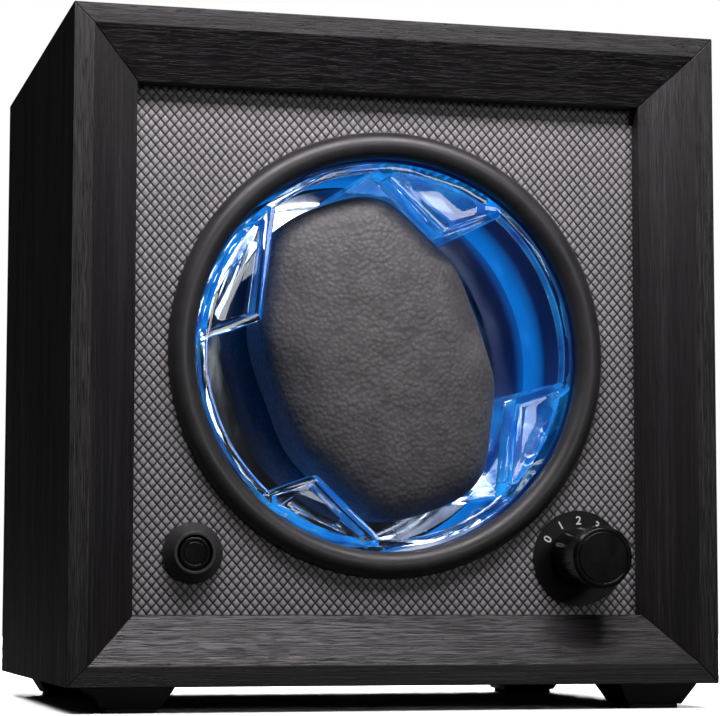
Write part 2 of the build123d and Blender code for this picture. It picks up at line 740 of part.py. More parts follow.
# Mode selector: dial plate, rotary switch with its nut and shaft, and the tall knob
KNOB_FRONT_D = -KNOB_PROUD
KNOB_BACK_D = PANEL_D - DIAL_T - 0.3
KNOB_CAVITY_R = 6.7
NUT_T = 1.8
BUSH_FRONT_D = 10.5
KNOB_BORE_D = 0.5
SWITCH_L = 9.0
SWITCH_CORNER_R = 1.5
SWITCH_SHAFT_R = 3.0
SWITCH_SHAFT_END_D = BAFFLE_BACK_D + SWITCH_L - 1.8
SWITCH_BORE_END_D = BAFFLE_BACK_D + SWITCH_L - 1
SWITCH_NUT_FLAT = 5.3
KNOB_CHAMFER = 0.6
KNOB_RING_OUT = KNOB_R - 1.2
KNOB_RING_IN = KNOB_R - 1.5
KNOB_RING_DEEP = 0.3
KNOB_CAVITY_FRONT_D = BUSH_FRONT_D - 0.5
with BuildPart() as dial_plate:
    with BuildSketch(facing(PANEL_D - DIAL_T, KNOB_X, KNOB_Z)):
        Circle(DIAL_R)
        Circle(SWITCH_BUSH_R + PANEL_GAP, mode=Mode.SUBTRACT)
    extrude(amount=-DIAL_T)
save(dial_plate, "dial_plate")

with BuildPart() as mode_knob:
    with BuildSketch(facing(KNOB_BACK_D, KNOB_X, KNOB_Z)):
        Circle(KNOB_R)
    extrude(amount=KNOB_BACK_D - KNOB_FRONT_D)
    chamfer(mode_knob.edges().filter_by(GeomType.CIRCLE).sort_by(Axis.Y)[0], KNOB_CHAMFER)
    with BuildSketch(facing(KNOB_FRONT_D, KNOB_X, KNOB_Z)):
        Circle(KNOB_RING_OUT)
        Circle(KNOB_RING_IN, mode=Mode.SUBTRACT)
    extrude(amount=-KNOB_RING_DEEP, mode=Mode.SUBTRACT)
    with BuildSketch(facing(KNOB_BACK_D, KNOB_X, KNOB_Z)):
        Circle(KNOB_CAVITY_R)
    extrude(amount=KNOB_BACK_D - KNOB_CAVITY_FRONT_D, mode=Mode.SUBTRACT)
    with BuildSketch(facing(KNOB_BORE_D, KNOB_X, KNOB_Z)):
        Circle(SWITCH_SHAFT_R + PRESS)
    extrude(amount=-(KNOB_BACK_D - KNOB_BORE_D), mode=Mode.SUBTRACT)
save(mode_knob, "mode_knob")

with BuildPart() as switch_shaft:
    with BuildSketch(facing(KNOB_BORE_D + SLIP, KNOB_X, KNOB_Z)):
        Circle(SWITCH_SHAFT_R)
    extrude(amount=-(SWITCH_SHAFT_END_D - KNOB_BORE_D - SLIP))
save(switch_shaft, "switch_shaft")

with BuildPart() as rotary_switch:
    with BuildSketch(facing(BAFFLE_BACK_D, KNOB_X, KNOB_Z)):
        RectangleRounded(SWITCH_SIZE, SWITCH_SIZE, SWITCH_CORNER_R)
    extrude(amount=-SWITCH_L)
    with BuildSketch(facing(BAFFLE_BACK_D, KNOB_X, KNOB_Z)):
        Circle(SWITCH_BUSH_R)
    extrude(amount=BAFFLE_BACK_D - BUSH_FRONT_D)
    with BuildSketch(facing(BUSH_FRONT_D, KNOB_X, KNOB_Z)):
        Circle(SWITCH_SHAFT_R + RUN)
    extrude(amount=-(SWITCH_BORE_END_D - BUSH_FRONT_D), mode=Mode.SUBTRACT)
save(rotary_switch, "rotary_switch_body")

with BuildPart() as switch_nut:
    with BuildSketch(facing(PANEL_D - DIAL_T, KNOB_X, KNOB_Z)):
        RegularPolygon(SWITCH_NUT_FLAT, 6, major_radius=False)
        Circle(SWITCH_BUSH_R + PRESS, mode=Mode.SUBTRACT)
    extrude(amount=NUT_T)
save(switch_nut, "switch_nut")

# Push button: bezel with its barrel, cap with a stem, return spring and the switch behind
BEZEL_FRONT_D = 9.6
CAP_FRONT_D = 9.9
CAP_BACK_D = 16.0
STEM_R = 1.5
STEM_END_D = 27.0
BARREL_END_D = 24.0
BUTTON_BODY_END_D = 34.0
BUTTON_BODY_BORE_D = STEM_END_D + 2
BEZEL_EDGE_T = 0.8
CAP_CHAMFER = 0.5
CAP_RING_R = 2.9
CAP_RING_W = 0.35
CAP_RING_DEEP = 0.25
save(
    turn_profile(
        [
            (BUTTON_BORE_R, BEZEL_FRONT_D),
            (BEZEL_RIM_R, BEZEL_FRONT_D),
            (BEZEL_R, PANEL_D - BEZEL_EDGE_T),
            (BEZEL_R, PANEL_D),
            (BUTTON_BARREL_R, PANEL_D),
            (BUTTON_BARREL_R, BARREL_END_D),
            (BUTTON_BORE_R, BARREL_END_D),
        ],
        BUTTON_X,
        BUTTON_Z,
    ),
    "button_bezel",
)
save(
    turn_profile(
        [
            (0, CAP_FRONT_D),
            (CAP_RING_R - CAP_RING_W, CAP_FRONT_D),
            (CAP_RING_R - CAP_RING_W, CAP_FRONT_D + CAP_RING_DEEP),
            (CAP_RING_R, CAP_FRONT_D + CAP_RING_DEEP),
            (CAP_RING_R, CAP_FRONT_D),
            (BUTTON_CAP_R - CAP_CHAMFER, CAP_FRONT_D),
            (BUTTON_CAP_R, CAP_FRONT_D + CAP_CHAMFER),
            (BUTTON_CAP_R, CAP_BACK_D),
            (STEM_R, CAP_BACK_D),
            (STEM_R, STEM_END_D),
            (0, STEM_END_D),
        ],
        BUTTON_X,
        BUTTON_Z,
    ),
    "button_cap",
)
save(
    turn_profile(
        [
            (0, BUTTON_BODY_END_D),
            (0, BUTTON_BODY_BORE_D),
            (STEM_R + RUN, BUTTON_BODY_BORE_D),
            (STEM_R + RUN, BARREL_END_D),
            (BUTTON_BARREL_R, BARREL_END_D),
            (BUTTON_BARREL_R, BUTTON_BODY_END_D),
        ],
        BUTTON_X,
        BUTTON_Z,
    ),
    "button_switch_body",
)

# The spring is a coil of round wire around the stem, from the cap's back to the switch's face
WIRE_R = 0.25
COIL_R = 2.6
COIL_TURNS = 5
coil_l = BARREL_END_D - CAP_BACK_D - 2 * (WIRE_R + HOLE_GAP)
coil_pitch = coil_l / COIL_TURNS
coil_start = (BUTTON_X, FRONT_Y + CAP_BACK_D + WIRE_R + HOLE_GAP, BUTTON_Z)
with BuildPart() as button_spring:
    with BuildLine() as coil:
        Helix(pitch=coil_pitch, height=coil_l, radius=COIL_R, center=coil_start, direction=(0, 1, 0))
    with BuildSketch(Plane(origin=coil.line @ 0, z_dir=coil.line % 0)):
        Circle(WIRE_R)
    sweep(is_frenet=True)
save(button_spring, "button_spring")

# Control board on four posts on the cabinet floor, with its connectors and components
POST_R = 2.5
POST_PIN_R = 1.3
POST_PIN_L = PCB_T + 1.2
POST_IN = 4.0  # each post stands this far in from the board's edges
PCB_HOLE_R = 1.4
pcb_middle_d = PCB_D + PCB_L / 2
post_spots = [
    (sx * (PCB_W / 2 - POST_IN), FRONT_Y + pcb_middle_d + sy * (PCB_L / 2 - POST_IN))
    for sx in (-1, 1)
    for sy in (-1, 1)
]
with BuildPart() as control_board:
    with BuildSketch(Plane.XY.offset(FLOOR_Z + STANDOFF_H)):
        with Locations((0, FRONT_Y + pcb_middle_d)):
            Rectangle(PCB_W, PCB_L)
        with Locations(*post_spots):
            Circle(PCB_HOLE_R, mode=Mode.SUBTRACT)
    extrude(amount=PCB_T)
save(control_board, "control_board")

with BuildPart() as standoffs:
    with BuildSketch(Plane.XY.offset(FLOOR_Z)):
        with Locations(*post_spots):
            Circle(POST_R)
    extrude(amount=STANDOFF_H)
    with BuildSketch(Plane.XY.offset(FLOOR_Z + STANDOFF_H)):
        with Locations(*post_spots):
            Circle(POST_PIN_R)
    extrude(amount=POST_PIN_L)
save(standoffs, "board_standoffs")

PLUG_W = 7.0
PLUG_L = 6.0
PLUG_H = 6.0
plug_side_x = PCB_W / 2 - PLUG_W / 2
LED_PLUG = (-20.0, 86.0)
MOTOR_PLUG = (8.0, 116.0)
JACK_PLUG = (-plug_side_x, 110.0)
KNOB_PLUG = (plug_side_x, 98.0)
BUTTON_PLUG = (-plug_side_x, 98.0)
plugs = (LED_PLUG, MOTOR_PLUG, JACK_PLUG, KNOB_PLUG, BUTTON_PLUG)
with BuildPart() as connectors:
    with BuildSketch(Plane.XY.offset(BOARD_TOP_Z)):
        with Locations(*[(x, FRONT_Y + d) for x, d in plugs]):
            Rectangle(PLUG_W, PLUG_L)
    extrude(amount=PLUG_H)
save(connectors, "board_connectors")

CHIP_SPOT = (-6.0, 100.0)
CHIP_W = 9.0
CHIP_H = 1.6
CAPACITOR_SPOT = (16.0, 96.0)
CAPACITOR_R = 3.5
CAPACITOR_H = 9.0
with BuildPart() as components:
    with BuildSketch(Plane.XY.offset(BOARD_TOP_Z)):
        with Locations((CHIP_SPOT[0], FRONT_Y + CHIP_SPOT[1])):
            Rectangle(CHIP_W, CHIP_W)
    extrude(amount=CHIP_H)
    with BuildSketch(Plane.XY.offset(BOARD_TOP_Z)):
        with Locations((CAPACITOR_SPOT[0], FRONT_Y + CAPACITOR_SPOT[1])):
            Circle(CAPACITOR_R)
    extrude(amount=CAPACITOR_H)
save(components, "board_components")

# Rear cover, let into the rebate, with vents, a countersunk screw at each corner and the jack
VENT_W = 44.0
VENT_H = 2.6
VENT_PITCH = 6.0
VENT_UP = 45.0
VENTS = 5
JACK_BARREL_R = 4.0
JACK_FLANGE_R = 5.6
JACK_FLANGE_T = 1.5
jack_spot = (-JACK_X, JACK_Z - AXIS_Z)
with BuildPart() as rear_cover:
    with BuildSketch(backing(CABINET_D - COVER_T)):
        Rectangle(2 * (COVER_HALF - SLIP), 2 * (COVER_HALF - SLIP))
        with Locations((0, VENT_UP)):
            with GridLocations(VENT_W, VENT_PITCH, 1, VENTS):
                SlotOverall(VENT_W, VENT_H, mode=Mode.SUBTRACT)
        with Locations(jack_spot):
            Circle(JACK_BARREL_R + PANEL_GAP, mode=Mode.SUBTRACT)
    extrude(amount=COVER_T)
    with BuildSketch(backing(CABINET_D)):
        with Locations(jack_spot):
            Circle(JACK_FLANGE_R + PANEL_GAP)
    extrude(amount=-JACK_FLANGE_T, mode=Mode.SUBTRACT)
    with Locations(backing(CABINET_D)):
        with Locations(*cover_screw_spots):
            CounterSinkHole(
                COVER_SCREW_R + HOLE_GAP, COVER_SCREW_HEAD_R + HOLE_GAP, COVER_T, SINK_ANGLE
            )
save(rear_cover, "rear_cover")
flush_screws(
    "rear_cover_screws",
    backing(CABINET_D),
    cover_screw_spots,
    COVER_SCREW_R,
    COVER_SCREW_L,
    COVER_SCREW_HEAD_R,
)

# DC jack: flanged barrel held by a nut inside. The centre pin stands in its bore on a wider root.
JACK_BORE_R = 2.8
JACK_START_D = 118.0
JACK_BORE_START_D = 121.0
JACK_PIN_R = 1.0
JACK_ROOT_R = 1.3
JACK_PIN_END_D = 131.5
JACK_NUT_T = 2.5
JACK_NUT_FLAT = 5.5
cover_d = CABINET_D - COVER_T
save(
    turn_profile(
        [
            (JACK_ROOT_R + PRESS, JACK_START_D),
            (JACK_BARREL_R, JACK_START_D),
            (JACK_BARREL_R, CABINET_D - JACK_FLANGE_T),
            (JACK_FLANGE_R, CABINET_D - JACK_FLANGE_T),
            (JACK_FLANGE_R, CABINET_D),
            (JACK_BORE_R, CABINET_D),
            (JACK_BORE_R, JACK_BORE_START_D),
            (JACK_ROOT_R + PRESS, JACK_BORE_START_D),
        ],
        JACK_X,
        JACK_Z,
    ),
    "dc_jack_body",
)
with BuildPart() as jack_pin:
    with BuildSketch(facing(JACK_START_D, JACK_X, JACK_Z)):
        Circle(JACK_ROOT_R)
    extrude(amount=-(JACK_BORE_START_D - JACK_START_D))
    with BuildSketch(facing(JACK_BORE_START_D, JACK_X, JACK_Z)):
        Circle(JACK_PIN_R)
    extrude(amount=-(JACK_PIN_END_D - JACK_BORE_START_D))
save(jack_pin, "dc_jack_pin")
with BuildPart() as jack_nut:
    with BuildSketch(facing(cover_d - JACK_NUT_T, JACK_X, JACK_Z)):
        RegularPolygon(JACK_NUT_FLAT, 6, major_radius=False)
        Circle(JACK_BARREL_R + PRESS, mode=Mode.SUBTRACT)
    extrude(amount=-JACK_NUT_T)
save(jack_nut, "dc_jack_nut")

# Feet: tapered blocks under the corners, each with a screw up into the wood and a soft pad
for end, depth in foot_depths.items():
    for side, sx in (("left", -1), ("right", 1)):
        place = (sx * FOOT_X, FRONT_Y + depth)
        taper = degrees(atan2((FOOT_TOP - FOOT_BOTTOM) / 2, FOOT_H - PAD_T))
        with BuildPart() as foot:
            with BuildSketch(Plane.XY.offset(FOOT_H)):
                with Locations(place):
                    Rectangle(FOOT_TOP, FOOT_TOP)
            extrude(amount=-(FOOT_H - PAD_T), taper=taper)
            with BuildSketch(Plane.XY.offset(FOOT_H)):
                with Locations(place):
                    Circle(FOOT_SCREW_R + HOLE_GAP)
            extrude(amount=-(FOOT_H - PAD_T), mode=Mode.SUBTRACT)
            with BuildSketch(Plane.XY.offset(PAD_T)):
                with Locations(place):
                    Circle(FOOT_SCREW_HEAD_R + HOLE_GAP)
            extrude(amount=FOOT_SCREW_HEAD_R - FOOT_SCREW_R, taper=45, mode=Mode.SUBTRACT)
        save(foot, f"foot_{end}_{side}")

PAD_W = FOOT_BOTTOM - 1
PAD_CORNER_R = 1.5
with BuildPart() as pads:
    with BuildSketch(Plane.XY):
        with Locations(*foot_spots):
            RectangleRounded(PAD_W, PAD_W, PAD_CORNER_R)
    extrude(amount=PAD_T)
save(pads, "foot_pads")
under_feet = Plane(origin=(0, 0, PAD_T), x_dir=(1, 0, 0), z_dir=(0, 0, -1))
flush_screws(
    "foot_screws",
    under_feet,
    [(x, -y) for x, y in foot_spots],
    FOOT_SCREW_R,
    FOOT_SCREW_L,
    FOOT_SCREW_HEAD_R,
)


# Leads inside the cabinet. Each runs from its source to the side or top of its connector.
def lead(name, *routes):
    with BuildPart() as piece:
        for points, bend in routes:
            places = [(x, FRONT_Y + d, z) for x, d, z in points]
            with BuildLine() as path:
                FilletPolyline(*places, radius=bend)
            with BuildSketch(Plane(origin=path.line @ 0, z_dir=path.line % 0)):
                Circle(LEAD_R)
            sweep(path=path.line)
    save(piece, name)


plug_mid_z = BOARD_TOP_Z + PLUG_H / 2
plug_top_z = BOARD_TOP_Z + PLUG_H
led_lead_start = (LED_LEAD_X, LED_BOARD_D + LED_BOARD_T, LED_LEAD_Z)
lead(
    "led_lead",
    (
        [
            led_lead_start,
            (LED_LEAD_X, 76.0, LED_LEAD_Z),
            (-24.0, 88.0, 42.0),
            (LED_PLUG[0], LED_PLUG[1], plug_top_z),
        ],
        5.0,
    ),
)
lead(
    "power_leads",
    (
        [
            (0.0, motor_back, MOTOR_Z - 7),
            (0.0, motor_back + 6, MOTOR_Z - 7),
            (5.0, motor_back + 5, MOTOR_Z - 20),
            (MOTOR_PLUG[0], MOTOR_PLUG[1], plug_top_z),
        ],
        4.0,
    ),
    (
        [
            (JACK_X, JACK_START_D, JACK_Z - 2),
            (JACK_X, 108.0, JACK_Z - 2),
            (-44.0, 108.0, plug_mid_z),
            (-PCB_W / 2, JACK_PLUG[1], plug_mid_z),
        ],
        3.5,
    ),
)
lead(
    "control_leads",
    (
        [
            (KNOB_X, BAFFLE_BACK_D + SWITCH_L, KNOB_Z - 4),
            (KNOB_X + 1, 48.0, KNOB_Z - 5),
            (KNOB_X + 3, 70.0, 19.0),
            (KNOB_X - 1, 94.0, 19.0),
            (PCB_W / 2, KNOB_PLUG[1], plug_mid_z),
        ],
        5.0,
    ),
    (
        [
            (BUTTON_X, BUTTON_BODY_END_D, BUTTON_Z - 3),
            (BUTTON_X - 1, 50.0, BUTTON_Z - 4),
            (BUTTON_X - 3, 70.0, 19.0),
            (BUTTON_X + 1, 92.0, 19.0),
            (-PCB_W / 2, BUTTON_PLUG[1], plug_mid_z),
        ],
        5.0,
    ),
)
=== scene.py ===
import json
import math

import bmesh
import bpy
from mathutils import Matrix, Vector


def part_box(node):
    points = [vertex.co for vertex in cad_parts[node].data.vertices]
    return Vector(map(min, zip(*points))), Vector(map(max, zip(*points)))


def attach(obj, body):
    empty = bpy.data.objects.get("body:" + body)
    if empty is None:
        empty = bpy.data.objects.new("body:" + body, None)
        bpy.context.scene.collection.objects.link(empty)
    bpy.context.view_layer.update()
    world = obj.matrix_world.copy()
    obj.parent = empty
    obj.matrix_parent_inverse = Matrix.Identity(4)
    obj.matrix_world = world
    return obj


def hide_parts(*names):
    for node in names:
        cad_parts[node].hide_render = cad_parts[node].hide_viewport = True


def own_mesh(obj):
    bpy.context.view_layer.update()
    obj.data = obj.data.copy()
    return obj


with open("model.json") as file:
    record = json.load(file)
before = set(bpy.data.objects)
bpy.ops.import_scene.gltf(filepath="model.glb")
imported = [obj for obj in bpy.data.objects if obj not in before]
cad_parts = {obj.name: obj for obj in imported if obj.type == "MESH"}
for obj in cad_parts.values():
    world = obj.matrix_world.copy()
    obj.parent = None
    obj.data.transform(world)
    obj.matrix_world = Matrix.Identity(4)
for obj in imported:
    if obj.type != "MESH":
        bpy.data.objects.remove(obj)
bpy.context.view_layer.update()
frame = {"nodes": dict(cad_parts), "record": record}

# Watch winder box. Metres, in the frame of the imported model: +Z up, the front faces -Y.
MM = 0.001


# Places and sizes, all read from the frame
def middle(node):
    low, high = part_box(node)
    return (low + high) / 2


RAIL_LOW, RAIL_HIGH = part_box("front_rail_top")
FRONT_Y = RAIL_LOW.y
RAIL_BACK_Y = RAIL_HIGH.y
BOARD_LOW, BOARD_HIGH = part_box("top_board")
BACK_Y = BOARD_HIGH.y
HALF = RAIL_HIGH.x
WELL = middle("trim_ring")
WELL_Z = WELL.z
TOP_Z = RAIL_HIGH.z
BOTTOM_Z = TOP_Z - 2 * HALF
RAIL_H = RAIL_HIGH.z - RAIL_LOW.z
BOARD_T = BOARD_HIGH.z - BOARD_LOW.z
COVER_LOW, COVER_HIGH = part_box("rear_cover")
PANEL_LOW, PANEL_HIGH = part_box("baffle_fabric")
RING_R = (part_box("trim_ring")[1].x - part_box("trim_ring")[0].x) / 2
CUSHION_LOW, CUSHION_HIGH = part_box("cushion")
DIAL = middle("dial_plate")

# Sizes that the frame's boxes don't give
RIM_W = 4.8 * MM  # flat rim round the front
SPLAY_D = 8.6 * MM  # depth of the splay behind it
DIAMOND_W = 2.28 * MM  # spacing of the embossed diamonds
DIAMOND_H = 2.58 * MM
GROOVE = 0.34 * MM  # depth between them
ROTOR_TILT = math.radians(20)


# ---------------------------------------------------------------- materials
class Surface:
    """A Principled material with procedural detail placed in the object's own metres."""

    def __init__(self, name, colour, roughness, metallic=0.0, **sockets):
        self.material = bpy.data.materials.new(name)
        self.material.use_nodes = True
        self.tree = self.material.node_tree
        self.shader = self.tree.nodes["Principled BSDF"]
        self.shader.inputs["Base Color"].default_value = (*colour, 1)
        self.shader.inputs["Roughness"].default_value = roughness
        self.shader.inputs["Metallic"].default_value = metallic
        for socket, value in sockets.items():
            self.shader.inputs[socket.replace("_", " ")].default_value = value
        self.place = self.node("ShaderNodeTexCoord").outputs["Object"]
        self.normal = None

    def node(self, kind, links=None, values=None, **settings):
        made = self.tree.nodes.new(kind)
        for key, value in settings.items():
            setattr(made, key, value)
        for key, value in (values or {}).items():
            made.inputs[key].default_value = value
        for key, source in (links or {}).items():
            self.tree.links.new(source, made.inputs[key])
        return made

    def stretched(self, size_mm, turn=0.0):
        """Coordinates in which one unit is this many millimetres along each axis."""
        turned = self.node(
            "ShaderNodeMapping", {"Vector": self.place}, {"Rotation": (0, turn, 0)}, vector_type="POINT"
        )
        scale = tuple(1 / (size * MM) for size in size_mm)
        return self.node(
            "ShaderNodeMapping", {"Vector": turned.outputs[0]}, {"Scale": scale}
        ).outputs[0]

    def noise(self, size_mm, detail=4.0, roughness=0.55, warp=0.0, turn=0.0):
        size = size_mm if isinstance(size_mm, tuple) else (size_mm,) * 3
        return self.node(
            "ShaderNodeTexNoise",
            {"Vector": self.stretched(size, turn)},
            {"Scale": 1.0, "Detail": detail, "Roughness": roughness, "Distortion": warp},
        ).outputs["Fac"]

    def ramp(self, factor, *stops):
        """Colours, or greys, at places from 0 to 1."""
        ramp = self.node("ShaderNodeValToRGB", {"Fac": factor})
        elements = ramp.color_ramp.elements
        while len(elements) < len(stops):
            elements.new(0.5)
        for element, (place, colour) in zip(elements, stops):
            element.position = place
            rgb = colour if isinstance(colour, tuple) else (colour,) * 3
            element.color = (*rgb, 1)
        return ramp.outputs["Color"]

    def mix(self, factor, a, b, blend="MIX"):
        made = self.node("ShaderNodeMix", data_type="RGBA", blend_type=blend)
        for socket, value in ((made.inputs[0], factor), (made.inputs[6], a), (made.inputs[7], b)):
            if hasattr(value, "node"):
                self.tree.links.new(value, socket)
            elif isinstance(value, tuple):
                socket.default_value = (*value, 1)
            else:
                socket.default_value = value
        return made.outputs[2]

    def level(self, factor, low, high, start=0.0, end=1.0):
        return self.node(
            "ShaderNodeMapRange",
            {"Value": factor},
            {"From Min": start, "From Max": end, "To Min": low, "To Max": high},
        ).outputs[0]

    def colour(self, output):
        self.tree.links.new(output, self.shader.inputs["Base Color"])
        return self

    def rough(self, output):
        self.tree.links.new(output, self.shader.inputs["Roughness"])
        return self

    def relief(self, height, depth_mm, strength=1.0):
        links = {"Height": height}
        if self.normal is not None:
            links["Normal"] = self.normal
        bump = self.node("ShaderNodeBump", links, {"Strength": strength, "Distance": depth_mm * MM})
        self.normal = bump.outputs["Normal"]
        self.tree.links.new(self.normal, self.shader.inputs["Normal"])
        return self


def oak(name, along):
    """Black-stained oak with open pores. The grain runs along axis 0 (X) or 2 (Z)."""

    def cells(across, length):
        size = [across, across, across]
        size[along] = length
        return tuple(size)

    wood = Surface(name, (0.03, 0.03, 0.03), 0.45, Specular_IOR_Level=0.42)
    bands = wood.noise(cells(5.0, 120.0), 3.0, 0.5, 0.3)
    streaks = wood.noise(cells(0.42, 38.0), 5.0, 0.65, 0.1)
    pores = wood.noise(cells(0.17, 7.0), 3.0, 0.5, 0.15)
    dark = (0.006, 0.0052, 0.0057)
    even = (0.0105, 0.0093, 0.0101)
    pale = (0.018, 0.0159, 0.0173)
    tone = wood.ramp(bands, (0.34, dark), (0.52, even), (0.70, pale))
    line = wood.ramp(streaks, (0.38, 0.3), (0.50, 0.95), (0.62, 2.2))
    hole = wood.ramp(pores, (0.38, 0.2), (0.47, 1.0))
    toned = wood.mix(1.0, tone, line, "MULTIPLY")
    wood.colour(wood.mix(1.0, toned, hole, "MULTIPLY"))
    wood.rough(wood.level(streaks, 0.54, 0.36, 0.36, 0.64))
    wood.relief(streaks, 0.05, 0.6)
    wood.relief(wood.ramp(pores, (0.38, 0.0), (0.46, 1.0)), 0.06, 0.8)
    return wood.material


def moulded(name, colour, roughness, grain_mm=0.35, depth_mm=0.012, **sockets):
    """Moulded plastic with a fine texture and faint handling marks."""
    plastic = Surface(name, colour, roughness, **sockets)
    grain = plastic.noise(grain_mm, 4.0, 0.6)
    marks = plastic.noise((9.0, 9.0, 9.0), 5.0, 0.6, 1.2)
    lighter = tuple(c * 1.5 + 0.0005 for c in colour)
    plastic.colour(plastic.mix(plastic.level(marks, 0.0, 1.0, 0.35, 0.75), colour, lighter))
    plastic.rough(plastic.level(marks, roughness * 0.88, min(1.0, roughness * 1.18), 0.3, 0.7))
    plastic.relief(grain, depth_mm, 0.6)
    return plastic.material


def machined(name, colour, roughness, across_mm=(0.12, 6.0, 0.12)):
    """Metal with fine drawn or turned lines."""
    metal = Surface(name, colour, roughness, 1.0)
    lines = metal.noise(across_mm, 3.0, 0.6)
    stain = metal.noise(5.0, 4.0, 0.6, 0.8)
    darker = tuple(c * 0.72 for c in colour)
    metal.colour(metal.mix(metal.level(stain, 0.0, 1.0, 0.35, 0.7), darker, colour))
    metal.rough(metal.level(lines, roughness * 0.75, roughness * 1.3, 0.3, 0.7))
    metal.relief(lines, 0.01, 0.5)
    return metal.material


def embossed_sheet():
    """Grey embossed covering: a fine skin grain on the raised diamonds, with painted shade making the
    grooves nearly black.
    """
    sheet = Surface("embossed_panel", (0.2, 0.195, 0.2), 0.42, Specular_IOR_Level=0.55)
    grain = sheet.noise(0.28, 4.0, 0.6)
    patch = sheet.noise(14.0, 4.0, 0.55, 0.4)
    depth = sheet.node("ShaderNodeSeparateXYZ", {"Vector": sheet.place}).outputs["Y"]
    # Painted shade: the colour drops to nearly black down in the grooves between the diamonds.
    painted_groove_shade = sheet.level(depth, 1.0, 0.0, PANEL_LOW.y + 0.02 * MM, PANEL_LOW.y + GROOVE * 0.55)
    light = sheet.mix(sheet.level(patch, 0.0, 1.0, 0.3, 0.7), (0.20, 0.190, 0.199), (0.24, 0.229, 0.239))
    sheet.colour(sheet.mix(painted_groove_shade, (0.006, 0.006, 0.0065), light))
    sheet.rough(sheet.level(grain, 0.38, 0.55, 0.3, 0.7))
    sheet.relief(grain, 0.02, 0.6)
    return sheet.material


def leather():
    """Soft dark leather: rounded pebbles and shallow wrinkles, with a finer grain over them, and painted
    shade darkening the dips between the pebbles.
    """
    hide = Surface("dark_leather", (0.05, 0.05, 0.052), 0.5, Specular_IOR_Level=0.4, Sheen_Weight=0.05)
    wander = hide.node(
        "ShaderNodeTexNoise", {"Vector": hide.stretched((2.2, 2.2, 2.2))}, {"Scale": 1.0, "Detail": 3.0}
    )
    bent = hide.node("ShaderNodeMix", data_type="VECTOR", factor_mode="UNIFORM")
    bent.inputs[0].default_value = 0.22
    hide.tree.links.new(hide.stretched((0.85, 0.85, 0.85)), bent.inputs[4])
    hide.tree.links.new(wander.outputs["Color"], bent.inputs[5])
    pebble = hide.node(
        "ShaderNodeTexVoronoi",
        {"Vector": bent.outputs[1]},
        {"Scale": 1.0, "Smoothness": 0.6},
        feature="SMOOTH_F1",
    ).outputs["Distance"]
    wrinkle = hide.noise((1.5, 1.5, 1.5), 5.0, 0.62, 0.9)
    fine = hide.noise(0.2, 4.0, 0.6)
    bend = hide.noise(6.0, 2.0, 0.5)
    tone = hide.ramp(bend, (0.3, (0.066, 0.064, 0.0655)), (0.7, (0.094, 0.0915, 0.0935)))
    # Painted shade: the colour darkens towards the low dips between the pebbles.
    painted_dip_shade = hide.ramp(pebble, (0.25, 1.0), (0.75, 0.72))
    hide.colour(hide.mix(1.0, tone, painted_dip_shade, "MULTIPLY"))
    hide.rough(hide.level(pebble, 0.46, 0.62, 0.2, 0.8))
    hide.relief(hide.ramp(pebble, (0.2, 1.0), (0.8, 0.0)), 0.14, 0.8)
    hide.relief(wrinkle, 0.12, 0.5)
    hide.relief(fine, 0.02, 0.5)
    return hide.material


def acrylic():
    """Clear polished acrylic. A painted glow, blue emission, is put on the walls that run back into the
    well.
    """
    clear = Surface(
        "clear_acrylic",
        (0.80, 0.90, 1.0),
        0.02,
        Transmission_Weight=1.0,
        IOR=1.49,
        Specular_IOR_Level=0.6,
        Emission_Strength=0.17,
    )
    wipe = clear.noise((3.0, 3.0, 12.0), 4.0, 0.6, 0.5)
    clear.rough(clear.level(wipe, 0.01, 0.06, 0.35, 0.75))
    # Painted glow: the blue emission is strongest on faces turned sideways, away from the front and back.
    facing = clear.node("ShaderNodeNewGeometry").outputs["Normal"]
    outward = clear.node("ShaderNodeSeparateXYZ", {"Vector": facing}).outputs["Y"]
    side = clear.node("ShaderNodeMath", {0: outward}, operation="ABSOLUTE").outputs[0]
    cloud = clear.noise(9.0, 3.0, 0.5)
    lit = clear.mix(clear.level(cloud, 0.0, 1.0, 0.35, 0.65), (0.0, 0.06, 0.50), (0.03, 0.42, 1.0))
    edge = clear.ramp(side, (0.25, 1.0), (0.8, 0.0))
    clear.tree.links.new(clear.mix(1.0, lit, edge, "MULTIPLY"), clear.shader.inputs["Emission Color"])
    return clear.material


def light_guide():
    """Frosted sleeve lit from its rear end: bright azure deep in the well, nearly dark at the mouth."""
    guide = Surface("blue_frosted", (0.01, 0.05, 0.22), 0.35, Emission_Strength=0.85)
    low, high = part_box("light_sleeve")
    depth = guide.node("ShaderNodeSeparateXYZ", {"Vector": guide.place}).outputs["Y"]
    along = guide.level(depth, 0.0, 1.0, low.y, high.y)
    cloud = guide.noise(14.0, 3.0, 0.5)
    glow = guide.ramp(
        along,
        (0.0, (0.0, 0.001, 0.006)),
        (0.30, (0.0, 0.003, 0.022)),
        (0.46, (0.0, 0.008, 0.050)),
        (0.56, (0.002, 0.09, 0.36)),
        (0.70, (0.004, 0.16, 0.60)),
        (1.0, (0.006, 0.20, 0.70)),
    )
    varied = guide.mix(guide.level(cloud, 0.0, 0.25, 0.35, 0.7), glow, (0.0, 0.01, 0.06))
    guide.tree.links.new(varied, guide.shader.inputs["Emission Color"])
    guide.relief(guide.noise(0.3, 3.0, 0.6), 0.02, 0.5)
    return guide.material


def dark_mirror():
    """Smoked mirror at the back of the rotor, with faint wipe marks."""
    glass = Surface("mirror_black", (0.62, 0.68, 0.78), 0.06, 1.0)
    wipe = glass.noise((4.0, 4.0, 14.0), 4.0, 0.6, 0.6)
    glass.colour(glass.mix(glass.level(wipe, 0.0, 1.0, 0.3, 0.7), (0.56, 0.62, 0.72), (0.66, 0.72, 0.82)))
    glass.rough(glass.level(wipe, 0.04, 0.12, 0.35, 0.7))
    return glass.material


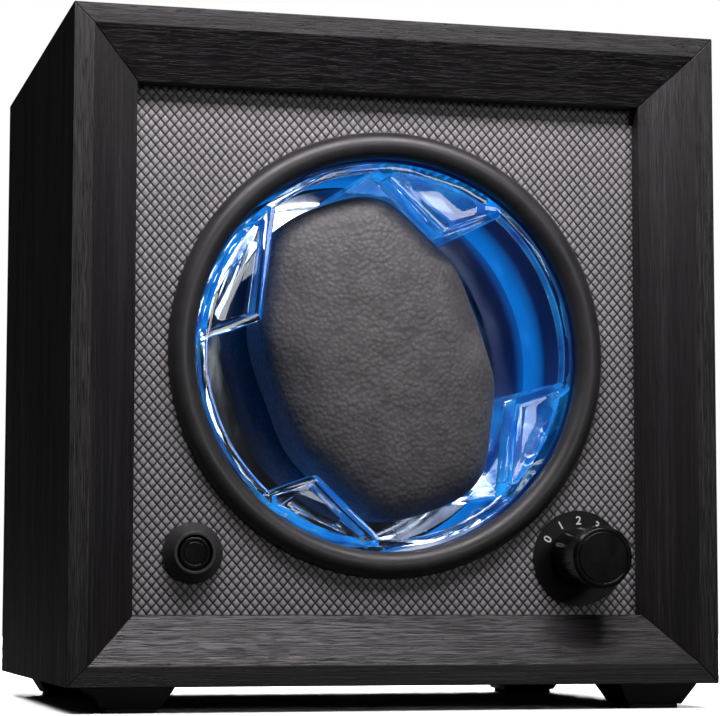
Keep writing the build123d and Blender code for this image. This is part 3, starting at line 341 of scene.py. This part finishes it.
def circuit_board():
    """Green solder mask over copper tracks, with tinned pads."""
    board = Surface("circuit_board", (0.01, 0.08, 0.03), 0.35)
    tracks = board.node(
        "ShaderNodeTexBrick",
        {"Vector": board.stretched((3.2, 3.2, 3.2), 0.0)},
        {"Scale": 1.0, "Mortar Size": 0.09, "Brick Width": 2.3, "Row Height": 0.7},
    ).outputs["Fac"]
    pads = board.node(
        "ShaderNodeTexVoronoi", {"Vector": board.stretched((2.6, 2.6, 2.6))}, {"Scale": 1.0}
    ).outputs["Distance"]
    mask = board.mix(tracks, (0.008, 0.075, 0.028), (0.02, 0.16, 0.06))
    dot = board.ramp(pads, (0.16, 1.0), (0.19, 0.0))
    board.colour(board.mix(dot, mask, (0.62, 0.60, 0.55)))
    board.relief(tracks, 0.03, 0.7)
    board.rough(board.level(board.noise(1.5), 0.28, 0.42))
    return board.material


def fibreboard():
    board = Surface("baffle_mdf", (0.3, 0.22, 0.15), 0.85)
    fibres = board.noise((0.5, 0.5, 0.5), 6.0, 0.7)
    board.colour(board.ramp(fibres, (0.3, (0.20, 0.14, 0.09)), (0.7, (0.38, 0.29, 0.20))))
    board.relief(fibres, 0.05, 0.6)
    return board.material


def wire_sleeve():
    wire = Surface("wire", (0.45, 0.03, 0.03), 0.4)
    bands = wire.noise((2.0, 2.0, 2.0), 3.0, 0.5)
    wire.colour(wire.ramp(bands, (0.35, (0.30, 0.015, 0.015)), (0.65, (0.52, 0.04, 0.035))))
    wire.relief(wire.noise(0.4), 0.02, 0.4)
    return wire.material


def led_package():
    led = Surface("led_blue", (0.6, 0.7, 0.9), 0.3, Emission_Strength=3.0)
    cells = led.noise(1.1, 2.0, 0.5)
    glow = led.ramp(cells, (0.3, (0.02, 0.16, 0.9)), (0.7, (0.08, 0.42, 1.0)))
    led.tree.links.new(glow, led.shader.inputs["Emission Color"])
    led.relief(cells, 0.03, 0.4)
    return led.material


def printed_ink():
    ink = Surface("dial_ink", (0.5, 0.5, 0.51), 0.55)
    speck = ink.noise(0.12, 3.0, 0.6)
    ink.colour(ink.ramp(speck, (0.3, (0.42, 0.42, 0.43)), (0.6, (0.62, 0.62, 0.63))))
    ink.relief(speck, 0.01, 0.4)
    return ink.material


OAK_ALONG_X = oak("black_oak_across", 0)
OAK_UPRIGHT = oak("black_oak_upright", 2)
SATIN = moulded("satin_black", (0.015, 0.0145, 0.0153), 0.42, Specular_IOR_Level=0.5)
MATTE = moulded("matte_black", (0.008, 0.008, 0.0085), 0.55, 0.5, 0.03)
GLOSS = moulded("gloss_black", (0.0012, 0.0012, 0.0013), 0.16, 2.0, 0.004)
DIAL_BLACK = moulded("printed_dial", (0.0012, 0.0012, 0.0013), 0.4, 0.3, 0.01, Specular_IOR_Level=0.25)
NYLON = moulded("white_nylon", (0.72, 0.71, 0.67), 0.45)
PAD_FOAM = moulded("foot_pad", (0.02, 0.02, 0.02), 0.9, 0.5, 0.1)
BRASS = machined("brass", (0.72, 0.52, 0.24), 0.28)
STEEL = machined("steel", (0.62, 0.62, 0.63), 0.3)
CAN = machined("motor_steel", (0.42, 0.42, 0.43), 0.35, (6.0, 0.12, 6.0))
BLACK_SCREW = moulded("black_screw", (0.012, 0.012, 0.012), 0.32, 0.3, 0.01)
BY_SLOT = {
    "embossed_panel": embossed_sheet(),
    "baffle_mdf": fibreboard(),
    "satin_black": SATIN,
    "gloss_black": GLOSS,
    "mirror_black": dark_mirror(),
    "matte_black": MATTE,
    "blue_frosted": light_guide(),
    "clear_acrylic": acrylic(),
    "circuit_board": circuit_board(),
    "led_blue": led_package(),
    "white_nylon": NYLON,
    "brass": BRASS,
    "steel": STEEL,
    "motor_steel": CAN,
    "black_screw": BLACK_SCREW,
    "dark_leather": leather(),
    "printed_dial": DIAL_BLACK,
    "foot_pad": PAD_FOAM,
    "wire": wire_sleeve(),
    "black_oak": OAK_UPRIGHT,
}


# ---------------------------------------------------------------- pieces
def piece(name, mesh_builder, material, body, smooth_deg=35.0):
    """Makes an object from a bmesh, gives it its material and lets it ride on a body."""
    mesh = bpy.data.meshes.new(name)
    mesh_builder.normal_update()
    mesh_builder.to_mesh(mesh)
    mesh_builder.free()
    made = bpy.data.objects.new(name, mesh)
    bpy.context.scene.collection.objects.link(made)
    mesh.materials.append(material)
    mesh.shade_smooth()
    mesh.set_sharp_from_angle(angle=math.radians(smooth_deg))
    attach(made, body)
    return made


def bevelled(made, width, segments=2, angle=30.0):
    bevel = made.modifiers.new("soft_edges", "BEVEL")
    bevel.width = width
    bevel.segments = segments
    bevel.limit_method = "ANGLE"
    bevel.angle_limit = math.radians(angle)
    bevel.use_clamp_overlap = True
    bevel.harden_normals = True
    return made


def softened(node, width=0.25 * MM, segments=2):
    """Rounds the edges of a CAD node with modifiers, leaving its own mesh as it is."""
    made = frame["nodes"][node]
    made.data.shade_smooth()
    weld = made.modifiers.new("weld", "WELD")
    weld.merge_threshold = 0.001 * MM
    flat = made.modifiers.new("flat_faces", "DECIMATE")
    flat.decimate_type = "DISSOLVE"
    flat.angle_limit = math.radians(0.3)
    bevelled(made, width, segments)
    return made


def carcass_side(name, turn, material, nodes):
    """One mitred side of the cabinet: the splayed front rail and the board behind it in one veneer."""
    cover_back = COVER_HIGH.y - COVER_LOW.y
    lip = HALF - COVER_HIGH.x
    section = [
        (FRONT_Y, HALF),
        (FRONT_Y, HALF - RIM_W),
        (FRONT_Y + SPLAY_D, HALF - RAIL_H),
        (RAIL_BACK_Y, HALF - RAIL_H),
        (RAIL_BACK_Y, HALF - BOARD_T),
        (BACK_Y - cover_back, HALF - BOARD_T),
        (BACK_Y - cover_back, HALF - lip),
        (BACK_Y, HALF - lip),
        (BACK_Y, HALF),
    ]
    spin = Matrix.Rotation(-turn, 4, "Y")
    centre = Vector((0, 0, WELL_Z))
    build = bmesh.new()
    ends = []
    for side in (-1, 1):
        ring = []
        for y, out in section:
            local = Vector((side * out, y, out))
            ring.append(build.verts.new(centre + spin @ local))
        ends.append(ring)
    count = len(section)
    for i in range(count):
        j = (i + 1) % count
        build.faces.new((ends[0][i], ends[0][j], ends[1][j], ends[1][i]))
    build.faces.new(ends[0])
    build.faces.new(ends[1])
    bmesh.ops.recalc_face_normals(build, faces=build.faces)
    made = piece(name, build, material, "cabinet", 20.0)
    bevelled(made, 0.22 * MM, 3, 20.0)
    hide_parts(*nodes)
    return made


carcass_side("veneer_top", 0.0, OAK_ALONG_X, ("front_rail_top", "top_board"))
carcass_side("veneer_left", math.radians(90), OAK_UPRIGHT, ("front_rail_left", "side_board_left"))
carcass_side("veneer_bottom", math.radians(180), OAK_ALONG_X, ("front_rail_bottom", "bottom_board"))
carcass_side("veneer_right", math.radians(270), OAK_UPRIGHT, ("front_rail_right", "side_board_right"))


def panel_backing(build, hole_r):
    """A flat sheet with a round hole, from the bottom of the grooves to the back of the covering."""
    edge = PANEL_HIGH.x
    steps = 96
    sheets = []
    for y in (PANEL_LOW.y + GROOVE, PANEL_HIGH.y):
        inner = []
        outer = []
        for k in range(steps):
            a = 2 * math.pi * (k + 0.5) / steps
            reach = edge / max(abs(math.cos(a)), abs(math.sin(a)))
            inner.append(build.verts.new((hole_r * math.cos(a), y, WELL_Z + hole_r * math.sin(a))))
            outer.append(build.verts.new((reach * math.cos(a), y, WELL_Z + reach * math.sin(a))))
        sheets.append((inner, outer))
        for k in range(steps):
            n = (k + 1) % steps
            build.faces.new((inner[k], inner[n], outer[n], outer[k]))
    for ring_front, ring_back in zip(*sheets):
        for k in range(steps):
            n = (k + 1) % steps
            build.faces.new((ring_front[k], ring_front[n], ring_back[n], ring_back[k]))
    bmesh.ops.recalc_face_normals(build, faces=build.faces)


def raised_diamond(build, x, z):
    """One diamond about a point on the panel: upright sides, then a slope up to a small flat top."""
    land = 0.86
    shoulder = 0.56
    front = PANEL_LOW.y + GROOVE
    corners = ((1, 0), (0, 1), (-1, 0), (0, -1))
    rings = []
    for reach, y in ((land, front), (land, front - GROOVE * 0.55), (shoulder, PANEL_LOW.y)):
        ring = []
        for cx, cz in corners:
            corner_x = x + cx * reach * DIAMOND_W / 2
            corner_z = WELL_Z + z + cz * reach * DIAMOND_H / 2
            ring.append(build.verts.new((corner_x, y, corner_z)))
        rings.append(ring)
    for low, high in zip(rings, rings[1:]):
        for k in range(4):
            n = (k + 1) % 4
            build.faces.new((low[n], low[k], high[k], high[n]))
    build.faces.new(tuple(reversed(rings[-1])))
    build.faces.new(rings[0])


def embossed_panel():
    """The covering: a backing sheet with raised diamonds in staggered rows, open at the well."""
    build = bmesh.new()
    hole_r = RING_R - 3.0 * MM
    panel_backing(build, hole_r)
    seen = HALF - RAIL_H + DIAMOND_W / 2
    columns = int(seen / DIAMOND_W) + 1
    rows = int(seen / DIAMOND_H) + 1
    for stagger in (0.0, 0.5):
        for i in range(-columns, columns + 1):
            for j in range(-rows, rows + 1):
                x = (i + stagger) * DIAMOND_W
                z = (j + stagger) * DIAMOND_H
                if max(abs(x), abs(z)) > seen or math.hypot(x, z) < hole_r + DIAMOND_H / 2:
                    continue
                raised_diamond(build, x, z)
    made = piece("embossed_covering", build, BY_SLOT["embossed_panel"], "cabinet", 50.0)
    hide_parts("baffle_fabric")
    return made


embossed_panel()


# Watch cushion: a crowned pillow, narrower at its ends, swollen by a cloth simulation
def cushion_outline(count):
    """Points round the cushion in its own upright frame: straight sides that narrow to the ends."""
    corners = [(26.9, 15.5), (16.0, 36.9), (9.0, 40.4)]
    right = corners + [(-x, z) for x, z in reversed(corners)]
    loop = [Vector(p) * MM for p in right + [(-x, -z) for x, z in right]]
    edges = list(zip(loop, loop[1:] + loop[:1]))
    total = sum((b - a).length for a, b in edges)
    points = []
    for k in range(count):
        along = total * k / count
        for a, b in edges:
            length = (b - a).length
            if along <= length:
                points.append(a.lerp(b, along / length))
                break
            along -= length
    for _ in range(3):
        points = [(points[k - 1] + points[k] * 2 + points[(k + 1) % count]) / 4 for k in range(count)]
    return [(p.x, p.y) for p in points]


# The cloth is simulated eight times life size, because the solver is tuned to larger things
SIM_SCALE = 8.0
SIM_VOXEL = 0.009
SIM_CAP = 0.005
SIM_FRAMES = 20


def cushion_mesh():
    """A closed loft from the middle of the front, out round the edge, to the flat back."""
    build = bmesh.new()
    depth = CUSHION_HIGH.y - CUSHION_LOW.y
    profile = [
        (0.30, 0.006),
        (0.55, 0.020),
        (0.74, 0.042),
        (0.86, 0.072),
        (0.935, 0.115),
        (0.98, 0.175),
        (1.0, 0.26),
        (1.0, 0.50),
        (1.0, 0.74),
        (0.975, 0.90),
        (0.90, 0.985),
        (0.74, 1.0),
    ]
    outline = cushion_outline(96)
    rings = []
    for reach, share in profile:
        rings.append(
            [build.verts.new((x * reach, share * depth, z * reach)) for x, z in outline]
        )
    count = len(outline)
    for a, b in zip(rings, rings[1:]):
        for k in range(count):
            n = (k + 1) % count
            build.faces.new((a[k], a[n], b[n], b[k]))
    tip = build.verts.new((0, 0, 0))
    tail = build.verts.new((0, depth, 0))
    for k in range(count):
        n = (k + 1) % count
        build.faces.new((tip, rings[0][n], rings[0][k]))
        build.faces.new((tail, rings[-1][k], rings[-1][n]))
    bmesh.ops.recalc_face_normals(build, faces=build.faces)
    bmesh.ops.scale(build, vec=(SIM_SCALE,) * 3, verts=build.verts)
    return build


def active(made):
    bpy.ops.object.select_all(action="DESELECT")
    made.select_set(True)
    bpy.context.view_layer.objects.active = made


def apply_all(made):
    active(made)
    for modifier in list(made.modifiers):
        bpy.ops.object.modifier_apply(modifier=modifier.name)


def swell(made):
    """Voxel remesh, cloth with inner pressure, and a cap on how far a point may move."""
    remesh = made.modifiers.new("remesh", "REMESH")
    remesh.mode = "VOXEL"
    remesh.voxel_size = SIM_VOXEL
    remesh.use_smooth_shade = True
    apply_all(made)
    start = [v.co.copy() for v in made.data.vertices]
    cloth = made.modifiers.new("cloth", "CLOTH")
    settings = cloth.settings
    settings.quality = 5
    settings.mass = 0.4
    settings.tension_stiffness = 22
    settings.compression_stiffness = 18
    settings.shear_stiffness = 10
    settings.bending_stiffness = 8.0
    settings.use_pressure = True
    settings.uniform_pressure_force = 1.2
    settings.effector_weights.gravity = 0.0
    cloth.collision_settings.use_self_collision = False
    scene = bpy.context.scene
    cloth.point_cache.frame_start = 1
    cloth.point_cache.frame_end = SIM_FRAMES
    for number in range(1, SIM_FRAMES + 1):
        scene.frame_set(number)
    apply_all(made)
    scene.frame_set(1)
    for vertex, before in zip(made.data.vertices, start):
        moved = vertex.co - before
        if moved.length > SIM_CAP:
            vertex.co = before + moved.normalized() * SIM_CAP


def make_cushion():
    build = cushion_mesh()
    mesh = bpy.data.meshes.new("watch_cushion")
    build.to_mesh(mesh)
    build.free()
    made = bpy.data.objects.new("watch_cushion", mesh)
    bpy.context.scene.collection.objects.link(made)
    swell(made)
    relax = made.modifiers.new("relax", "SMOOTH")
    relax.factor = 0.5
    relax.iterations = 14
    subdivide = made.modifiers.new("finer", "SUBSURF")
    subdivide.levels = 1
    subdivide.render_levels = 1
    apply_all(made)
    centre = Vector((0, CUSHION_LOW.y + 0.8 * MM, WELL_Z))
    place = Matrix.Translation(centre) @ Matrix.Rotation(-ROTOR_TILT, 4, "Y")
    made.data.transform(place @ Matrix.Scale(1 / SIM_SCALE, 4))
    made.data.materials.append(BY_SLOT["dark_leather"])
    made.data.shade_smooth()
    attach(made, "cushion")
    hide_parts("cushion")
    return made


make_cushion()


def turned_piece(node, profile, material, body, closed=False, segments=144):
    """Replaces a round CAD node by a smooth one. The profile is (radius, y), from front to back."""
    centre = middle(node)
    build = bmesh.new()
    rings = []
    for radius, y in profile:
        ring = []
        for k in range(segments):
            a = 2 * math.pi * k / segments
            x = centre.x + radius * math.cos(a)
            z = centre.z + radius * math.sin(a)
            ring.append(build.verts.new((x, y, z)))
        rings.append(ring)
    pairs = list(zip(rings, rings[1:]))
    if closed:
        pairs.append((rings[-1], rings[0]))
    else:
        build.faces.new(rings[0])
        build.faces.new(rings[-1])
    for near, far in pairs:
        for k in range(segments):
            n = (k + 1) % segments
            build.faces.new((near[k], near[n], far[n], far[k]))
    bmesh.ops.recalc_face_normals(build, faces=build.faces)
    made = piece("turned_" + node, build, material, body, 30.0)
    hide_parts(node)
    return made


def ringed_face(front, ring_in, ring_out, edge_r, deep, chamfer):
    """The front of a round control: a flat face with a ring cut into it and a chamfered edge."""
    return [
        (ring_in, front),
        (ring_in, front + deep),
        (ring_out, front + deep),
        (ring_out, front),
        (edge_r - chamfer, front),
        (edge_r, front + chamfer),
    ]


def round_controls():
    """The knob, the button's cap and its bezel, with the CAD sizes."""
    low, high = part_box("mode_knob")
    knob_r = (high.x - low.x) / 2
    cavity_r = knob_r - 0.8 * MM
    cavity_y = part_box("rotary_switch_body")[0].y - 0.5 * MM
    profile = ringed_face(low.y, knob_r - 1.5 * MM, knob_r - 1.2 * MM, knob_r, 0.3 * MM, 0.6 * MM)
    profile += [(knob_r, high.y), (cavity_r, high.y), (cavity_r, cavity_y)]
    bevelled(turned_piece("mode_knob", profile, GLOSS, "knob"), 0.1 * MM)

    low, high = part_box("button_cap")
    cap_r = (high.x - low.x) / 2
    stem_r = cap_r * 0.36
    cap_back = low.y + 6.1 * MM
    profile = ringed_face(low.y, 2.55 * MM, 2.9 * MM, cap_r, 0.25 * MM, 0.5 * MM)
    profile += [(cap_r, cap_back), (stem_r, cap_back), (stem_r, high.y)]
    bevelled(turned_piece("button_cap", profile, GLOSS, "button"), 0.1 * MM)

    low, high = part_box("button_bezel")
    bezel_r = (high.x - low.x) / 2
    barrel_r = 5.9 * MM
    bore_r = cap_r + 0.2 * MM
    profile = [
        (bore_r, low.y),
        (5.0 * MM, low.y),
        (bezel_r, PANEL_LOW.y - 0.8 * MM),
        (bezel_r, PANEL_LOW.y),
        (barrel_r, PANEL_LOW.y),
        (barrel_r, high.y),
        (bore_r, high.y),
    ]
    made = turned_piece("button_bezel", profile, SATIN, "cabinet", closed=True)
    bevelled(made, 0.12 * MM)


round_controls()


def button_coil():
    """The return spring: round wire wound about the stem, riding on the button."""
    low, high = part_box("button_spring")
    centre = middle("button_spring")
    wire_r = 0.25 * MM
    coil_r = (high.x - low.x) / 2 - wire_r
    turns = 5
    steps = 32 * turns
    first = low.y + wire_r
    length = high.y - low.y - 2 * wire_r
    build = bmesh.new()
    rings = []
    for i in range(steps + 1):
        angle = 2 * math.pi * turns * i / steps
        outward = Vector((math.cos(angle), 0, math.sin(angle)))
        on_axis = Vector((centre.x, first + length * i / steps, centre.z))
        ring = []
        for k in range(8):
            a = 2 * math.pi * k / 8
            offset = outward * (coil_r + wire_r * math.cos(a)) + Vector((0, wire_r * math.sin(a), 0))
            ring.append(build.verts.new(on_axis + offset))
        rings.append(ring)
    for near, far in zip(rings, rings[1:]):
        for k in range(8):
            n = (k + 1) % 8
            build.faces.new((near[k], near[n], far[n], far[k]))
    build.faces.new(rings[0])
    build.faces.new(rings[-1])
    bmesh.ops.recalc_face_normals(build, faces=build.faces)
    made = piece("wound_spring", build, BY_SLOT["steel"], "button", 50.0)
    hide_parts("button_spring")
    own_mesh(made)
    return made


button_coil()


# Numbers printed round the dial
DIGIT_R = 9.2 * MM
DIGIT_H = 2.9 * MM
DIGIT_STEP = 30
FIRST_DIGIT = 150
INK = printed_ink()
for number in range(5):
    angle = math.radians(FIRST_DIGIT - DIGIT_STEP * number)
    curve = bpy.data.curves.new(f"dial_number_{number}", "FONT")
    curve.body = str(number)
    curve.size = DIGIT_H
    curve.align_x = "CENTER"
    curve.align_y = "CENTER"
    curve.extrude = 0.02 * MM
    curve.offset = 0.04 * MM
    curve.materials.append(INK)
    digit = bpy.data.objects.new(f"dial_number_{number}", curve)
    bpy.context.scene.collection.objects.link(digit)
    spot = Vector((math.cos(angle) * DIGIT_R, 0, math.sin(angle) * DIGIT_R))
    face_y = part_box("dial_plate")[0].y
    lean = Matrix.Rotation(math.pi / 2 - angle, 4, "Y")
    upright = Matrix.Rotation(math.pi / 2, 4, "X")
    digit.matrix_world = Matrix.Translation(Vector((DIAL.x, face_y, DIAL.z)) + spot) @ lean @ upright
    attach(digit, "cabinet")

# Every CAD node gets its material, and the ring, the cage and the feet get rounded edges
for entry in frame["record"]["subparts"]:
    node = frame["nodes"][entry["node"]]
    node.data.materials.clear()
    node.data.materials.append(BY_SLOT[entry["material_slot"]])
for name in ("trim_ring", "rotor_cage"):
    softened(name, 0.18 * MM)
for name in ("foot_front_left", "foot_front_right", "foot_back_left", "foot_back_right"):
    softened(name, 0.4 * MM, 3)

# ---------------------------------------------------------------- stage, light and camera
floor_build = bmesh.new()
bmesh.ops.create_grid(floor_build, x_segments=1, y_segments=1, size=1.0)
floor_mesh = bpy.data.meshes.new("floor")
floor_build.to_mesh(floor_mesh)
floor_build.free()
floor = bpy.data.objects.new("floor", floor_mesh)
bpy.context.scene.collection.objects.link(floor)
pale = Surface("pale_floor", (0.8, 0.8, 0.8), 0.6, Specular_IOR_Level=0.1)
straight = pale.node("ShaderNodeLightPath").outputs["Is Camera Ray"]
paper = pale.ramp(pale.noise(60.0), (0.3, 0.86), (0.7, 0.90))
pale.colour(pale.mix(straight, (0.02, 0.02, 0.02), paper))
floor_mesh.materials.append(pale.material)


def softbox(name, place, target, size, power, colour=(1, 1, 1), spread=180):
    lamp = bpy.data.lights.new(name, "AREA")
    lamp.shape = "RECTANGLE"
    lamp.size, lamp.size_y = size
    lamp.energy = power
    lamp.color = colour
    lamp.spread = math.radians(spread)
    made = bpy.data.objects.new(name, lamp)
    bpy.context.scene.collection.objects.link(made)
    made.location = place
    made.rotation_euler = (Vector(target) - Vector(place)).to_track_quat("-Z", "Y").to_euler()
    return made


WHITE = (1, 1, 1)
KEY_TINT = (1.0, 0.94, 0.985)
softbox("key_above", (0.0, -0.17, 0.265), (0.0, FRONT_Y, 0.09), (0.24, 0.06), 0.80, KEY_TINT)
softbox("card_in_front", (0.37, -1.30, 0.365), (0.0, 0.0, 0.12), (0.36, 0.20), 2.0)
softbox("strip_behind", (0.14, 0.52, 0.12), (0.14, 0.0, 0.0), (0.30, 0.06), 3.5)

# Two washes from above whiten the floor, and aren't seen in reflections on the object
for name, y, size, power, spread in (
    ("floor_wash_front", -0.85, (2.2, 1.0), 28.0, 55),
    ("floor_wash_back", 0.95, (3.2, 1.6), 90.0, 70),
):
    wash = softbox(name, (0.0, y, 1.30), (0.0, y, 0.0), size, power, WHITE, spread)
    wash.visible_glossy = False

world = bpy.data.worlds.new("studio")
bpy.context.scene.world = world
world.use_nodes = True
tree = world.node_tree
tree.nodes.clear()
seen = tree.nodes.new("ShaderNodeBackground")
seen.inputs["Color"].default_value = (1.0, 1.0, 1.0, 1)
seen.inputs["Strength"].default_value = 1.0
lit = tree.nodes.new("ShaderNodeBackground")
lit.inputs["Color"].default_value = (0.95, 0.97, 1.0, 1)
lit.inputs["Strength"].default_value = 0.012
path = tree.nodes.new("ShaderNodeLightPath")
blend = tree.nodes.new("ShaderNodeMixShader")
out = tree.nodes.new("ShaderNodeOutputWorld")
tree.links.new(path.outputs["Is Camera Ray"], blend.inputs[0])
tree.links.new(lit.outputs[0], blend.inputs[1])
tree.links.new(seen.outputs[0], blend.inputs[2])
tree.links.new(blend.outputs[0], out.inputs[0])

# The camera stands low and to the left, looking slightly up
EYE_FROM_FRONT_FOOT = Vector((-158.5, -576.1, 21.5)) * MM
LENS_MM = 125.4
YAW, PITCH, ROLL = math.radians(14.386), math.radians(5.383), math.radians(0.098)
lens = bpy.data.cameras.new("camera")
lens.lens = LENS_MM
lens.sensor_width = 36.0
lens.clip_start = 0.01
lens.clip_end = 50
camera = bpy.data.objects.new("camera", lens)
bpy.context.scene.collection.objects.link(camera)
ahead = Vector((math.sin(YAW) * math.cos(PITCH), math.cos(YAW) * math.cos(PITCH), math.sin(PITCH)))
level_right = Vector((math.cos(YAW), -math.sin(YAW), 0))
level_up = level_right.cross(ahead)
right = level_right * math.cos(ROLL) + level_up * math.sin(ROLL)
up = level_up * math.cos(ROLL) - level_right * math.sin(ROLL)
turned = Matrix((right, up, -ahead)).transposed().to_4x4()
eye = Vector((0, FRONT_Y, BOTTOM_Z)) + EYE_FROM_FRONT_FOOT
camera.matrix_world = Matrix.Translation(eye) @ turned
bpy.context.scene.camera = camera
bpy.context.scene.view_settings.view_transform = "Standard"
